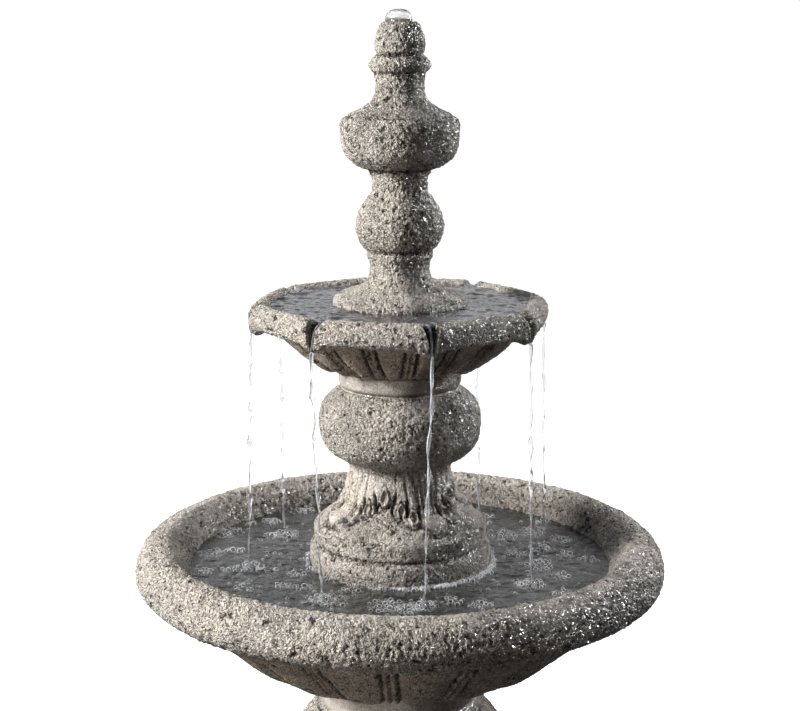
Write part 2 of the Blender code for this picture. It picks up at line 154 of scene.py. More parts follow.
def grid_object(name, X, attributes=None, wrap_rows=True, wrap_cols=True,
                caps=False):
    """A quad grid from points in mm, shape (rows, cols, 3), facing out."""
    rows, cols = X.shape[:2]
    idx = np.arange(rows * cols).reshape(rows, cols)
    if wrap_rows:
        idx = np.vstack([idx, idx[:1]])
    if wrap_cols:
        idx = np.hstack([idx, idx[:, :1]])
    quads = np.stack([idx[:-1, :-1], idx[1:, :-1], idx[1:, 1:], idx[:-1, 1:]],
                     -1).reshape(-1, 4)
    V = X.reshape(-1, 3) * MM
    extra = []
    if caps:
        V = np.vstack([V, X[0].mean(0)[None] * MM, X[-1].mean(0)[None] * MM])
        top, low = rows * cols, rows * cols + 1
        first, last = idx[0], idx[-1]
        extra = [(top, first[k], first[k + 1]) for k in range(len(first) - 1)]
        extra += [(low, last[k + 1], last[k]) for k in range(len(last) - 1)]
    tri = V[quads]
    vol = (np.einsum("ij,ij->i", tri[:, 0], np.cross(tri[:, 1], tri[:, 2])).sum()
           + np.einsum("ij,ij->i", tri[:, 0], np.cross(tri[:, 2], tri[:, 3])).sum())
    if extra:
        te = V[np.array(extra)]
        vol += np.einsum("ij,ij->i", te[:, 0], np.cross(te[:, 1], te[:, 2])).sum()
    if vol < 0:
        quads = quads[:, ::-1]
        extra = [e[::-1] for e in extra]
    me = bpy.data.meshes.new(name)
    me.vertices.add(len(V))
    me.vertices.foreach_set("co", V.astype(np.float32).ravel())
    loops = quads.ravel()
    if extra:
        loops = np.concatenate([loops, np.array(extra).ravel()])
    me.loops.add(len(loops))
    me.loops.foreach_set("vertex_index", loops.astype(np.int32))
    starts = np.arange(len(quads)) * 4
    if extra:
        starts = np.concatenate([starts, len(quads) * 4 + np.arange(len(extra)) * 3])
    me.polygons.add(len(starts))
    me.polygons.foreach_set("loop_start", starts.astype(np.int32))
    me.update(calc_edges=True)
    me.shade_smooth()
    for key, value in (attributes or {}).items():
        a = me.attributes.new(key, "FLOAT", "POINT")
        flat = np.zeros(len(V), np.float32)
        flat[:rows * cols] = value.reshape(-1)
        a.data.foreach_set("value", flat)
    ob = bpy.data.objects.new(name, me)
    scene.collection.objects.link(ob)
    return ob


def sphere_grid(r, z, phi):
    """Points of a turned surface; phi is a bearing from -Y towards +X."""
    return np.stack([r * np.sin(phi), -r * np.cos(phi), z], -1)


def stone_height(P, coarse=1.0):
    """Height of the cast texture, about -1 in a crevice to 1 on a crown."""
    warp = np.stack([noise(P / 9.0 + 11.3), noise(P / 9.0 + 47.1),
                     noise(P / 9.0 + 83.9)], -1)
    Q = P + warp * 2.2
    a = noise(Q / (4.9 * coarse))
    b = noise(Q / (3.1 * coarse) + 31.7)
    c = noise(P / 17.0 + 5.5)
    crowns = np.abs(a) ** 0.75 * 1.6 - 0.60
    folds = np.abs(b) ** 0.8 * 1.2 - 0.45
    pits = -smoothstep(0.28, 0.52, noise(Q / (6.0 * coarse) + 71.3))
    return np.clip(0.85 * crowns + 0.55 * folds + 0.8 * pits + 0.15 * c + 0.15, -1.5, 1.2)


def turned_casting(name, segments, cols, relief=None, phis=None, shape=None,
                   coarse=1.0, wet_and_shade=1.0, splash=None, underside_shade=None):
    """A cast piece: a turned profile with relief and the pitted skin."""
    r, z, amp, run, nrm, arc = profile(segments)
    if phis is None:
        n = int(cols * RES)
        phis = np.linspace(-math.pi, math.pi, n, endpoint=False)
    R, PH = np.meshgrid(r, phis, indexing="ij")
    Z = np.repeat(z[:, None], len(phis), 1)
    NR = np.repeat(nrm[:, :1], len(phis), 1)
    NZ = np.repeat(nrm[:, 1:], len(phis), 1)
    AMP = np.repeat(amp[:, None], len(phis), 1)
    RUN = np.repeat(run[:, None], len(phis), 1)
    if shape is not None:
        R, Z = shape(R, Z, PH, RUN)
    depth = np.zeros_like(R)
    recess_shade = np.zeros_like(R)
    if relief is not None:
        depth, calm, recess_shade = relief(R, Z, PH, RUN)
        AMP = AMP * calm
    P = sphere_grid(R, Z, PH)
    H = stone_height(P, coarse)
    AMP = AMP * 1.35
    low = noise(P / 60.0 + 3.3) * 0.8 * np.clip(AMP, 0, 1)
    D = depth + H * AMP + low
    # painted shade mixed with real damp: a band on the right-front side, bearings about 0° to 80°, is darkened and
    # made glossy; splash adds the wet zones by the water
    damp_and_shade = smoothstep(-4, 20, np.degrees(PH) + 7 * noise(P / 40.0)) \
        * smoothstep(88, 62, np.degrees(PH) + 7 * noise(P / 37.0 + 9.1))
    damp_and_shade = damp_and_shade * (0.76 + 0.24 * smoothstep(-0.3, 0.4, noise(P / 26.0 + 4.4))) * wet_and_shade
    if splash is not None:
        damp_and_shade = np.maximum(damp_and_shade, splash(R, Z, PH, RUN) * (0.75 + 0.25 * noise(P / 18.0 + 2.2)))
    damp_and_shade = np.clip(damp_and_shade, 0, 1)
    P = P + np.stack([NR * np.sin(PH) * D, -NR * np.cos(PH) * D, NZ * D], -1)
    # three attributes below carry painted shade into the colour: darkened grooves and creases, a darker right-front
    # side mixed with real damp, and a darker tone under the bowls
    return grid_object(name, P, {
        "crown": H * np.clip(AMP, 0, 1.0),
        "pitted": np.clip(AMP / 1.35, 0, 1),
        "recess_shade": recess_shade,
        "wet_and_shade": damp_and_shade,
        "underside_shade": (RUN == underside_shade).astype(float) if underside_shade is not None else np.zeros_like(R),
        "run": RUN.astype(float),
    })


# ------------------------------------------------------------------ materials
class Nodes:
    """Short hand for building a node tree."""

    def __init__(self, name):
        self.mat = bpy.data.materials.new(name)
        self.mat.use_nodes = True
        self.t = self.mat.node_tree
        self.bsdf = self.t.nodes["Principled BSDF"]
        self.out = self.t.nodes["Material Output"]

    def add(self, kind, **settings):
        n = self.t.nodes.new(kind)
        for k, v in settings.items():
            setattr(n, k, v)
        return n

    def link(self, a, b):
        self.t.links.new(a, b)

    def coords(self):
        if not hasattr(self, "_tc"):
            self._tc = self.add("ShaderNodeTexCoord").outputs["Object"]
        return self._tc

    def noise(self, scale, detail=3.0, rough=0.55, distortion=0.0, vector=None):
        n = self.add("ShaderNodeTexNoise")
        n.inputs["Scale"].default_value = scale
        n.inputs["Detail"].default_value = detail
        n.inputs["Roughness"].default_value = rough
        n.inputs["Distortion"].default_value = distortion
        self.link(vector or self.coords(), n.inputs["Vector"])
        return n.outputs["Fac"]

    def attr(self, name):
        n = self.add("ShaderNodeAttribute", attribute_name=name)
        return n.outputs["Fac"]

    def math(self, op, a, b=None, c=None, clamp=False):
        n = self.add("ShaderNodeMath", operation=op, use_clamp=clamp)
        for k, v in enumerate((a, b, c)):
            if v is None:
                continue
            if isinstance(v, (int, float)):
                n.inputs[k].default_value = v
            else:
                self.link(v, n.inputs[k])
        return n.outputs[0]

    def span(self, x, a, b, c=0.0, d=1.0):
        n = self.add("ShaderNodeMapRange", interpolation_type="SMOOTHSTEP")
        self.link(x, n.inputs["Value"])
        for k, v in zip(("From Min", "From Max", "To Min", "To Max"), (a, b, c, d)):
            n.inputs[k].default_value = v
        return n.outputs["Result"]

    def ramp(self, x, stops):
        n = self.add("ShaderNodeValToRGB")
        e = n.color_ramp.elements
        e[0].position, e[0].color = stops[0][0], (*stops[0][1], 1)
        e[1].position, e[1].color = stops[-1][0], (*stops[-1][1], 1)
        for pos, col in stops[1:-1]:
            k = e.new(pos)
            k.color = (*col, 1)
        self.link(x, n.inputs["Fac"])
        return n.outputs["Color"]

    def mix(self, fac, a, b, blend="MIX"):
        n = self.add("ShaderNodeMix", data_type="RGBA", blend_type=blend)
        if isinstance(fac, (int, float)):
            n.inputs["Factor"].default_value = fac
        else:
            self.link(fac, n.inputs["Factor"])
        for v, s in ((a, n.inputs["A"]), (b, n.inputs["B"])):
            pass
        ins = [s for s in n.inputs if s.type == "RGBA"]
        for v, s in ((a, ins[0]), (b, ins[1])):
            if isinstance(v, tuple):
                s.default_value = (*v, 1)
            else:
                self.link(v, s)
        return [o for o in n.outputs if o.type == "RGBA"][0]

    def bump(self, height, strength, distance, normal=None):
        n = self.add("ShaderNodeBump")
        n.inputs["Strength"].default_value = strength
        n.inputs["Distance"].default_value = distance
        self.link(height, n.inputs["Height"])
        if normal is not None:
            self.link(normal, n.inputs["Normal"])
        return n.outputs["Normal"]


def stone_material(name, light, mid, dark, size=1.0):
    """Cast stone: pale crowns, dark wash in the crevices, damp patches, and painted shade in carved recesses, on
    one side and under the bowls.
    """
    m = Nodes(name)
    crown = m.attr("crown")
    pitted = m.attr("pitted")
    recess_shade = m.attr("recess_shade")
    # a crust of rounded crowns parted by winding crevices
    warp = m.noise(120.0 / size, 2.0, 0.5)
    n1 = m.noise(205.0 / size, 1.5, 0.5, 0.6)
    n2 = m.noise(400.0 / size, 1.5, 0.5, 0.4)
    grain = m.noise(1500.0, 2.0, 0.6)
    broad = m.noise(11.0, 4.0, 0.55)
    veil = m.noise(40.0, 3.0, 0.6)
    r1 = m.math("POWER", m.math("MULTIPLY", m.math("ABSOLUTE", m.math("SUBTRACT", n1, 0.5)), 4.8, clamp=True), 0.65)
    r2 = m.math("POWER", m.math("MULTIPLY", m.math("ABSOLUTE", m.math("SUBTRACT", n2, 0.5)), 4.8, clamp=True), 0.75)
    crust = m.math("ADD", m.math("MULTIPLY", r1, 0.64), m.math("MULTIPLY", r2, 0.36))
    pit = m.span(warp, 0.58, 0.72)
    crust = m.math("SUBTRACT", crust, m.math("MULTIPLY", pit, 0.55))
    keep = m.span(pitted, 0.10, 0.85, 0.22, 1.0)
    # height that the colour follows: the skin's own height and the crust
    h = m.math("ADD", m.math("MULTIPLY", crown, 0.22),
               m.math("MULTIPLY", m.math("MULTIPLY", m.math("SUBTRACT", crust, 0.40), 0.95), keep))
    h = m.math("ADD", h, m.math("MULTIPLY", m.math("SUBTRACT", grain, 0.5), 0.30))
    h = m.math("ADD", h, m.math("MULTIPLY", m.math("SUBTRACT", veil, 0.5), 0.40))
    # painted shade: the relief's grooves and creases darken the colour here
    h = m.math("SUBTRACT", h, m.math("MULTIPLY", recess_shade, 0.62))
    h = m.math("ADD", m.math("MULTIPLY", h, 0.98), 0.55, clamp=True)
    base = m.ramp(h, [(0.10, dark), (0.30, tuple(0.6 * a + 0.4 * b for a, b in zip(dark, mid))),
                      (0.46, mid), (0.64, light)])
    tone = m.ramp(broad, [(0.30, (0.86, 0.85, 0.85)), (0.50, (1.0, 0.985, 0.965)),
                          (0.70, (1.04, 1.0, 0.95))])
    colour = m.mix(1.0, base, tone, "MULTIPLY")
    # painted shade: a warmer, darker tone multiplied over the bowl undersides
    under = m.mix(1.0, colour, (0.99, 0.89, 0.80), "MULTIPLY")
    colour = m.mix(m.attr("underside_shade"), colour, under)
    # damp: broad soft patches that darken and shine, joined by the attribute's real wet zones and its painted shade
    # on one side and on the back inner walls
    damp_n = m.noise(7.0, 3.0, 0.5, 0.6)
    damp_and_shade = m.span(damp_n, 0.50, 0.68, 0.0, 0.42)
    damp_and_shade = m.math("MAXIMUM", damp_and_shade, m.attr("wet_and_shade"))
    wet_and_shade_colour = m.mix(1.0, colour, (0.24, 0.228, 0.216), "MULTIPLY")
    colour = m.mix(m.math("MULTIPLY", damp_and_shade, 0.90), colour, wet_and_shade_colour)
    m.link(colour, m.bsdf.inputs["Base Color"])
    spots = m.span(m.noise(210.0, 2.0, 0.5), 0.40, 0.62)
    rough = m.math("SUBTRACT", 0.55, m.math("MULTIPLY", spots, 0.20))
    rough = m.math("SUBTRACT", rough, m.math("MULTIPLY", damp_and_shade, 0.20), clamp=True)
    m.link(rough, m.bsdf.inputs["Roughness"])
    m.bsdf.inputs["Specular IOR Level"].default_value = 0.20
    beads = m.span(m.noise(130.0, 2.0, 0.5), 0.42, 0.56, 0.20, 1.0)
    film_weight = m.math("ADD", m.math("MULTIPLY", damp_and_shade, 1.4), 0.30, clamp=True)
    m.link(m.math("MULTIPLY", film_weight, beads), m.bsdf.inputs["Coat Weight"])
    m.bsdf.inputs["Coat Roughness"].default_value = 0.075
    m.bsdf.inputs["Coat IOR"].default_value = 1.5
    relief = m.math("MULTIPLY", crust, keep)
    n1b = m.bump(relief, 1.0, 0.0046 * size)
    n2b = m.bump(grain, 0.30, 0.0007, n1b)
    m.link(n2b, m.bsdf.inputs["Normal"])
    film = m.bump(m.math("MULTIPLY", r1, keep), 1.0, 0.0026 * size)
    m.link(film, m.bsdf.inputs["Coat Normal"])
    return m.mat


LIGHT = (0.68, 0.637, 0.585)
MID = (0.43, 0.397, 0.358)
DARK = (0.045, 0.038, 0.033)
stone = stone_material("cast_stone_beige", LIGHT, MID, DARK)
stone_coarse = stone_material("cast_stone_coarse", LIGHT, MID, DARK, 1.22)


def casting(ob, node, body, mat=None):
    ob.data.materials.append(mat or stone)
    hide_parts(node)
    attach(ob, body)
    return ob


# ------------------------------------------------------------------- castings
WATER_LOW = 604.0
WATER_HIGH = 946.5
LIP0 = math.radians(11.5)
LEAF0 = math.radians(29.0)


def gadroons(R, PH, count, offset, fade, rib=7.5, groove=3.6, swell=3.0):
    """Swelling panels with a raised rib and two grooves between each pair."""
    step = 2 * math.pi / count
    a = (PH - offset + step / 2) % step - step / 2
    t = np.abs(a) * R
    edge = step / 2 * R
    g = -groove * bump(t, rib + 2.6, 2.7) + 1.3 * bump(t, rib - 2.4, 2.0)
    g += -0.75 * groove * bump(t, 0.0, 2.6)
    u = np.clip((t - rib - 4) / np.maximum(edge - rib - 4, 1), 0, 1)
    g += swell * np.sin(u * math.pi / 2) ** 0.8 - 0.8
    # painted shade darkening the grooves
    dark = 0.80 * bump(t, rib + 2.6, 2.3) + 0.35 * bump(t, 0.0, 2.2)
    return g * fade, dark * fade


def lower_relief(R, Z, PH, RUN):
    under = (RUN == 1) * smoothstep(118, 140, R) * smoothstep(290, 276, R)
    g, dark = gadroons(R, PH, 18, math.radians(-2.7), under)
    calm = np.where(RUN == 1, 0.55, 1.0)
    # painted shade along the crease under the rim's bead
    rim_crease_shade = (RUN == 0) * bump(Z, 571.5, 3.0) * (R < 330)
    return g, calm, dark + 0.5 * rim_crease_shade


lower_bowl = turned_casting("bowl_lower", [
    ([(274, 602), (283, 618), (294, 630), (306, 637), (320, 636.5), (333, 629.5),
      (341, 618), (345, 604), (344, 594), (338, 584), (327, 577), (312, 573),
      (292, 570)], 1.9, 1.5),
    ([(292, 570), (284, 562), (272, 546), (260, 537), (248, 527), (234, 514),
      (219, 501), (200, 487), (176, 475), (147, 464), (114, 457)], 2.6, 1.2),
    ([(114, 457), (20, 457)], 20, 0.0),
    ([(20, 457), (20, 474)], 9, 0.0),
    ([(20, 474), (124, 474)], 10, 0.0),
    ([(124, 474), (162, 482), (192, 497), (216, 513), (236, 531), (250, 549),
      (262, 572), (274, 602)], 5.0, 0.8),
], 1240, relief=lower_relief, coarse=1.12, underside_shade=1,
    # splash mixes real wet zones, the inner basin and the waterline, with painted shade on the back-left inner wall
    # and the back-right wall near the water
    splash=lambda R, Z, PH, RUN: (RUN == 5) * 0.9 + (RUN == 0) * (R < 308) * np.maximum(
        np.maximum(smoothstep(636, 618, Z) * 0.9, bump(np.degrees(PH), -112, 46) * 0.75),
        smoothstep(640, 622, Z) * bump(np.degrees(PH), 118, 24)))
casting(lower_bowl, "lower_bowl", "base", stone_coarse)


def leaf_relief(R, Z, PH, swell=1.0):
    """Four leaves laid over the neck: flutes above, a scalloped margin with
    drilled eyes between its lobes, and a curled tip on the shoulder."""
    deg = np.degrees(PH)
    a = (deg - 29.0 + 45.0) % 90.0 - 45.0       # 0 at a leaf's middle
    b = 45.0 - np.abs(a)                        # 0 between two leaves
    mmdeg = 1.25                                # mm of arc in a degree, about
    margin = np.interp(b, [0, 3, 6.5, 10, 14, 18, 21, 25, 29, 32, 38, 45],
                       [694, 695.5, 700, 686, 682.5, 684, 680, 674.5, 674, 677, 669, 664])
    leaf = smoothstep(-1.2, 1.6, Z - margin) * smoothstep(748, 722, Z)
    h = 3.2 * leaf * smoothstep(738, 700, Z)
    # dark is painted shade: it darkens the slits, flutes, eye outlines and hollows, and the undercuts below the
    # margin and the tip
    dark = np.zeros_like(R)
    # shadow line under the margin
    edge = bump(Z - margin, -2.0, 2.2) * smoothstep(742, 736, Z)
    h -= 1.4 * edge
    dark += 0.75 * edge

    def slit(b0, z0, b1, z1, width, depth, shade):
        nonlocal h, dark
        ax, az, bx, bz = b0 * mmdeg, z0, b1 * mmdeg, z1
        px, pz = b * mmdeg, Z
        dx, dz = bx - ax, bz - az
        t = np.clip(((px - ax) * dx + (pz - az) * dz) / (dx * dx + dz * dz), 0, 1)
        d = np.hypot(px - ax - t * dx, pz - az - t * dz)
        w = width * (0.55 + 0.75 * np.sin(math.pi * np.clip(t * 0.75 + 0.15, 0, 1)))
        m = np.exp(-(d / w) ** 2)
        h -= depth * m
        dark += shade * m

    def lobe(b0, z0, rb, rz, raise_by):
        nonlocal h, dark
        # a drop shape: pointed above, round below
        taper = 1.0 - 0.42 * smoothstep(-0.3, 1.0, (Z - z0) / rz)
        d = np.hypot((b - b0) * mmdeg / (rb * taper), (Z - z0) / rz)
        h += raise_by * (bump(d, 0.84, 0.17) - 0.75 * smoothstep(0.68, 0.50, d))
        g = bump(d, 1.24, 0.15)
        h -= 1.3 * g
        dark += 0.50 * g + 0.30 * bump(d, 0.58, 0.14)

    lobe(0.0, 707.5, 6.6, 12.5, 2.3)
    lobe(17.5, 690.5, 5.4, 9.2, 2.3)
    lobe(28.5, 682.5, 6.0, 8.8, 2.4)
    slit(11.5, 708, 8.0, 689, 2.0, 5.0, 1.1)
    slit(24.0, 702, 22.8, 685, 1.9, 5.0, 1.1)
    slit(35.0, 694, 33.5, 680, 1.8, 4.0, 1.0)
    # flutes running up the neck
    for b0, b1, z1, depth in ((11.5, 12.5, 708, 0.9), (21, 24.0, 703, 2.2),
                              (29.5, 35.0, 695, 2.4), (38, 40.5, 684, 2.0)):
        slit(b0, 734, b1, z1, 1.3, depth, 0.30)
    for b0, b1 in ((33.5, 37.0), (42.5, 43.5)):
        slit(b0, 726, b1, 690, 1.0, 0.9, 0.25)
    # the curled tip
    tip = smoothstep(15.5, 10.5, np.abs(a)) * bump(Z, 672 - 0.012 * a * a, 5.2)
    h += 3.8 * tip
    under = smoothstep(15, 11, np.abs(a)) * bump(Z, 663.3, 2.2)
    h -= 1.5 * under
    dark += 0.8 * under
    vein = smoothstep(14, 11, np.abs(a)) * bump(Z, 682, 3.6)
    h -= 1.0 * vein
    calm = 1.0 - 0.62 * smoothstep(-2, 2, Z - margin) * smoothstep(742, 732, Z)
    near = smoothstep(655, 662, Z) * smoothstep(752, 738, Z)
    return h * swell * near, calm, np.clip(dark * 0.68, 0, 0.9) * near


def arches(Z, R, PH, floor, places, half, height, reach):
    """Raise the foot's lower edge into arches by squeezing the wall above."""
    for place in places:
        a = (PH - place + math.pi) % (2 * math.pi) - math.pi
        t = np.clip(np.abs(a) * R / half, 0, 1)
        up = height * np.sqrt(np.clip(1 - t ** 4, 0, 1))
        s = np.clip((floor + reach - Z) / reach, 0, 1)
        Z = np.where(Z < floor + reach, Z + up * s, Z)
    return Z


def column_shape(R, Z, PH, RUN):
    Z = arches(Z, R, PH, 474.3, [math.radians(45 + 90 * k) for k in range(4)],
               13.0, 26.0, 60.0)
    return R, Z


def column_relief(R, Z, PH, RUN):
    h, calm, dark = leaf_relief(R, Z, PH)
    outer = RUN <= 3
    calm = np.where((Z > 838) & outer, 0.18, calm)
    calm = np.where((Z < 662) & outer, 0.62 * calm, calm)
    # painted shade darkening the creases at three rings
    ring = bump(Z, 633.5, 2.5) + 0.8 * bump(Z, 841, 2.2) + 0.5 * bump(Z, 657.5, 1.8)
    # a shallow scribed line round the upper ring's shoulder
    h = np.where(outer, h - 0.8 * bump(Z, 657.5, 1.8), 0.0)
    return h, calm, np.where(outer, dark + 0.6 * ring, 0.0)


column = turned_casting("column_stone", [
    ([(79, 861.7), (79.3, 854), (79, 846), (77, 842), (75.5, 839.5)], 1.8, 0.5),
    ([(75.5, 839.5), (80, 836), (90, 829), (99, 819.5), (103, 810), (104.8, 797),
      (104.2, 784), (102, 772), (97, 762), (89, 753.5), (78, 746.5), (70, 741),
      (66.5, 735)], 1.8, 1.25),
    ([(66.5, 735), (65.8, 729), (66.5, 722), (68, 704), (71.5, 692), (78, 683.5),
      (92, 673), (103, 663.5), (110, 658.5)], 1.5, 1.0),
    ([(110, 658.5), (112, 655), (112, 646), (111.8, 637), (109.5, 633.5),
      (112, 631.5), (116.5, 629), (118, 623), (118, 600)], 1.8, 1.1),
    ([(118, 600), (118, 474.3)], 5.0, 0.8),
    ([(118, 474.3), (104, 474.3)], 7, 0.0),
    ([(104, 474.3), (104, 606)], 6.0, 0.0),
    ([(104, 606), (97, 634), (82, 654), (64, 672), (55, 692), (53, 732),
      (68, 752), (87, 772), (91, 797), (87, 812), (70, 831), (62, 846)], 12, 0.0),
    ([(62, 846), (22, 846)], 14, 0.0),
    ([(22, 846), (22, 861.7)], 8, 0.0),
    ([(22, 861.7), (79, 861.7)], 14, 0.0),
], 540, relief=column_relief, shape=column_shape,
    splash=lambda R, Z, PH, RUN: (RUN <= 3) * smoothstep(626, 606, Z) * 0.7)
casting(column, "column", "column")

# bearings crowded round the spill notches
SECTOR = math.pi / 4
_near = np.concatenate([np.linspace(0, 1, 15)[:-1] * math.radians(4.2),
                        np.linspace(math.radians(4.2), SECTOR / 2, int(27 * RES) + 2)[:-1]])
_half = np.concatenate([_near, [SECTOR / 2]])
_sector = np.concatenate([_half[:-1], SECTOR - _half[::-1][:-1]])
LIP_PHIS = np.concatenate([LIP0 + SECTOR * k + _sector for k in range(8)])


def lip_angle(PH):
    return (PH - LIP0 + SECTOR / 2) % SECTOR - SECTOR / 2


def octagon(a):
    c = math.cos(math.pi / 8)
    flat = c / np.cos(math.pi / 8 - np.abs(a))
    # rounded corners
    t = (flat - c) / (1 - c)
    return (187 + 9 * t) / 192.0


def bowl_shape(R, Z, PH, RUN):
    a = lip_angle(PH)
    w = np.clip((R - 125) / 45, 0, 1)
    R2 = R * (1 + w * (octagon(a) - 1))
    t = a * R2
    # the band hangs down to a pointed lip under each notch
    low = (RUN == 0) * smoothstep(938, 924, Z) * smoothstep(165, 180, R)
    dip = 9.5 * np.exp(-np.abs(t / 14.0) ** 1.25) * low
    return R2, Z - dip


def upper_relief(R, Z, PH, RUN):
    a = lip_angle(PH)
    t = np.abs(a) * R
    top = smoothstep(938, 950, Z) * (RUN == 0)
    face = (RUN == 0) * (R > 180)
    half = np.interp(Z, [910, 920, 932, 944, 952], [1.9, 3.0, 5.0, 8.0, 10.0])
    depth = np.interp(Z, [909, 916, 924, 934, 942, 952], [1.0, 6.0, 11.0, 13.5, 12.0, 9.5])
    side = 1 - smoothstep(half * 0.78, half * 1.08, t)
    notch = side * depth * ((RUN == 0) & (R > 158)) * smoothstep(908, 914, Z)
    under = (RUN == 1) * smoothstep(86, 97, R) * smoothstep(168, 158, R)
    g, dark = gadroons(R, PH, 18, math.radians(5.5), under, rib=5.0, groove=4.2, swell=3.0)
    calm = np.where(RUN == 1, 0.6, 1.0) * (1 - 0.8 * side * (RUN == 0))
    # painted shade darkening the gadroon grooves and the sides of the spill notches
    return g - notch, calm, 1.25 * dark + 0.9 * side * (RUN == 0) * (R > 158)


upper_bowl = turned_casting("bowl_upper", [
    ([(164, 943), (169, 948.5), (176, 952), (183, 950.5), (188.5, 945.5),
      (191.5, 938.5), (192, 932), (190.3, 926), (187, 922.5), (181, 920.8),
      (174, 920)], 1.5, 1.15),
    ([(174, 920), (162, 916), (152, 909), (143, 900), (135, 892.5), (128, 887),
      (120, 881.5), (111, 875), (102, 869.5), (93, 866.5), (84, 865)], 1.7, 1.0),
    ([(84, 865), (20, 865)], 14, 0.0),
    ([(20, 865), (20, 878)], 7, 0.0),
    ([(20, 878), (92, 878)], 12, 0.0),
    ([(92, 878), (116, 889), (138, 907), (153, 925), (164, 943)], 3.5, 0.8),
], 0, relief=upper_relief, shape=bowl_shape, phis=LIP_PHIS, underside_shade=1,
    splash=lambda R, Z, PH, RUN: np.maximum(
        (RUN == 5) * 0.9, (RUN == 0) * (R > 150) * bump(lip_angle(PH) * R, 0, 8.0)))
casting(upper_bowl, "upper_bowl", "column")


def finial_relief(R, Z, PH, RUN):
    outer = RUN <= 1
    seams = bump(Z, 1260.5, 1.9) + 0.8 * bump(Z, 1237.5, 2.0) + 0.9 * bump(Z, 1117, 2.6) \
        + 0.8 * bump(Z, 1016, 1.8) + 0.7 * bump(Z, 1184.5, 1.7)
    beads = 1.2 * bump(Z, 1009, 3.4) + 0.8 * bump(Z, 1099, 4.0)
    h = np.where(outer, beads - 1.5 * seams, 0.0)
    # painted shade darkening the seam grooves
    return h, np.ones_like(R), np.where(outer, 0.8 * seams, 0.0)


finial = turned_casting("finial_stone", [
    ([(18, 1300), (21.5, 1299.3), (25, 1295), (28, 1288.5), (30.5, 1280), (31.6, 1272),
      (31, 1265), (29.6, 1261), (33, 1256.8), (37.6, 1251), (38.6, 1246), (36, 1241),
      (32.6, 1236), (31, 1229), (30.6, 1222), (31.2, 1213), (34, 1206), (40, 1199.5),
      (52, 1192.5), (66, 1186), (72.5, 1181.5), (75.4, 1175), (75.2, 1166),
      (74, 1154), (72, 1143), (67.5, 1134), (60, 1127), (50, 1120.5), (41, 1116.5)],
     1.7, 1.15),
    ([(41, 1116.5), (37, 1111), (34.8, 1104), (34.2, 1096), (36, 1088), (40.5, 1082),
      (47, 1073), (52, 1063), (55, 1052), (55.6, 1043), (53.5, 1034), (50, 1025),
      (45, 1018.5), (41.5, 1014.5), (40.5, 1008), (38.5, 1000), (37.4, 993),
      (38.4, 986), (42, 977), (52, 968.6), (68, 962), (80, 957.5), (85.5, 950.5),
      (85, 944), (82, 937), (83, 920)], 1.7, 1.15),
    ([(83, 920), (84, 878.3)], 5, 0.6),
    ([(84, 878.3), (71, 878.3)], 7, 0.0),
    ([(71, 878.3), (69, 938), (52, 953), (32, 966), (25, 980), (25, 1010),
      (38, 1028), (42, 1044), (36, 1064), (22, 1088), (22, 1110), (48, 1130),
      (60, 1146), (61, 1166), (40, 1182), (20, 1198)], 12, 0.0),
    ([(20, 1198), (19, 1262), (16, 1272), (16, 1297)], 12, 0.0),
    ([(16, 1297), (16.5, 1299.4), (18, 1300)], 2.0, 0.3),
], 360, relief=finial_relief, coarse=0.92,
    splash=lambda R, Z, PH, RUN: (RUN <= 2) * smoothstep(953, 940, Z) * 0.8
    + (RUN <= 1) * smoothstep(1288, 1300, Z) * 0.5)
casting(finial, "finial", "finial")


def pedestal_shape(R, Z, PH, RUN):
    return R, arches(Z, R, PH, 0.0, [math.pi], 16.0, 20.0, 50.0)


def pedestal_relief(R, Z, PH, RUN):
    zc = 661.0 + (Z - 108.0) / 1.85
    h, calm, dark = leaf_relief(R, zc, PH + math.radians(29.0 - 45.0), 1.6)
    outer = RUN <= 3
    calm = np.where((Z > 412) & outer, 0.25, calm)
    # painted shade darkening the creases at three rings
    ring = bump(Z, 81, 3.0) + 0.8 * bump(Z, 405, 2.6) + 0.6 * bump(Z, 109, 2.5)
    return np.where(outer, h, 0), calm, np.where(outer, dark + 0.6 * ring, 0)


pedestal = turned_casting("pedestal_stone", [
    ([(100, 453.7), (100.5, 436), (100, 417), (104, 412), (109, 407), (113, 402.5)], 2.2, 0.5),
    ([(113, 402.5), (124, 392), (134, 378), (142, 361), (145, 342), (143.5, 322),
      (138, 302), (128, 284), (112, 267), (97, 254), (89, 245)], 2.2, 1.3),
    ([(89, 245), (87.5, 234), (87, 222), (87.5, 205), (92, 185), (102, 162),
      (120, 138), (138, 121), (152, 110)], 2.0, 1.1),
    ([(152, 110), (158, 104), (158, 90), (154.5, 83), (157, 79), (163, 75),
      (165, 68), (165, 2)], 2.2, 1.2),
    ([(165, 2), (164, 0)], 3, 0.0),
    ([(164, 0), (150, 0)], 7, 0.0),
    ([(150, 0), (150, 60), (138, 98), (108, 126), (84, 166), (74, 200), (74, 242),
      (94, 270), (118, 300), (128, 342), (118, 376), (90, 405), (84, 422),
      (84, 438)], 14, 0.0),
    ([(84, 438), (45, 438)], 14, 0.0),
    ([(45, 438), (45, 453.7)], 8, 0.0),
    ([(45, 453.7), (100, 453.7)], 14, 0.0),
], 500, relief=pedestal_relief, shape=pedestal_shape)
casting(pedestal, "base_pedestal", "base")

# ---------------------------------------------------------------------- water
STREAMS = []        # (bearing, landing radius, landing bearing, start radius)
for k, (drift_r, drift_a) in enumerate(((-5, -3.2), (2, 0.6), (4, 1.2), (-3, -1.5),
                                        (2, 1.5), (-4, 1.0), (6, -1.0), (-6, 2.5))):
    STREAMS.append((LIP0 + SECTOR * k, 191.0 + drift_r,
                    LIP0 + SECTOR * k + math.radians(drift_a), 189.0))


